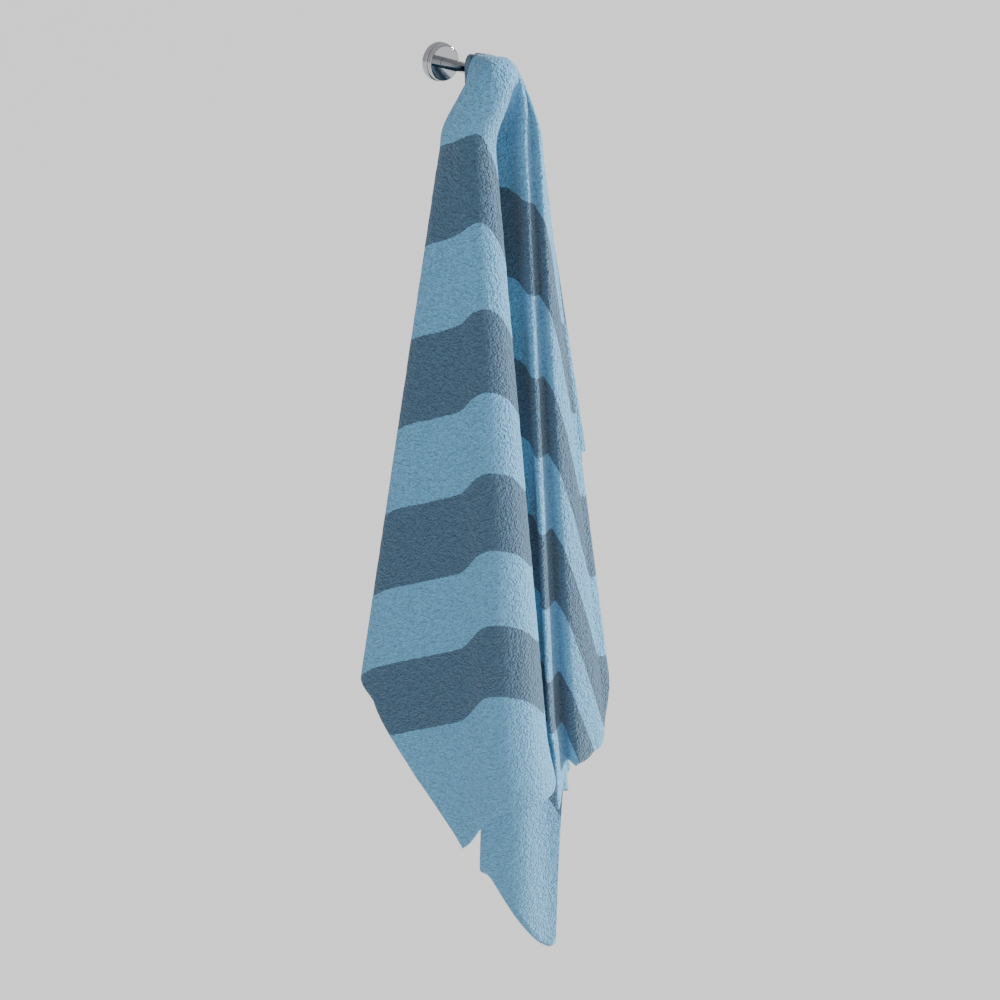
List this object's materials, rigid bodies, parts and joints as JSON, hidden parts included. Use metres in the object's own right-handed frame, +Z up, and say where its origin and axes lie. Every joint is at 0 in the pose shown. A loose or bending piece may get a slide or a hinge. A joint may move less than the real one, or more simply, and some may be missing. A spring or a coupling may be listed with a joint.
{
  "type": "towel on wall hook",
  "caption": "Striped terry bath towel hung by one point of its middle on the ball end of a round chrome wall hook, falling in long folds with its corners at different heights.",
  "frame": {"origin": "centre of the hook plate's back face, on the wall", "axes": "+X to the right for someone facing the wall, +Y into the wall, +Z up; the hook's peg points along -Y and the towel hangs down along -Z"},
  "size_m": [0.2467, 0.1287, 0.9808],
  "materials": {
    "chrome_plate": "satin chrome",
    "chrome_cover": "polished chrome",
    "chrome_peg": "polished chrome",
    "terry": "terry loop pile, light blue with dark slate blue bands across its length"
  },
  "bodies": {
    "root": {"hook_plate": "chrome_plate", "hook_cover": "chrome_cover", "hook_peg": "chrome_peg", "towel": "terry"}
  },
  "joints": []
}
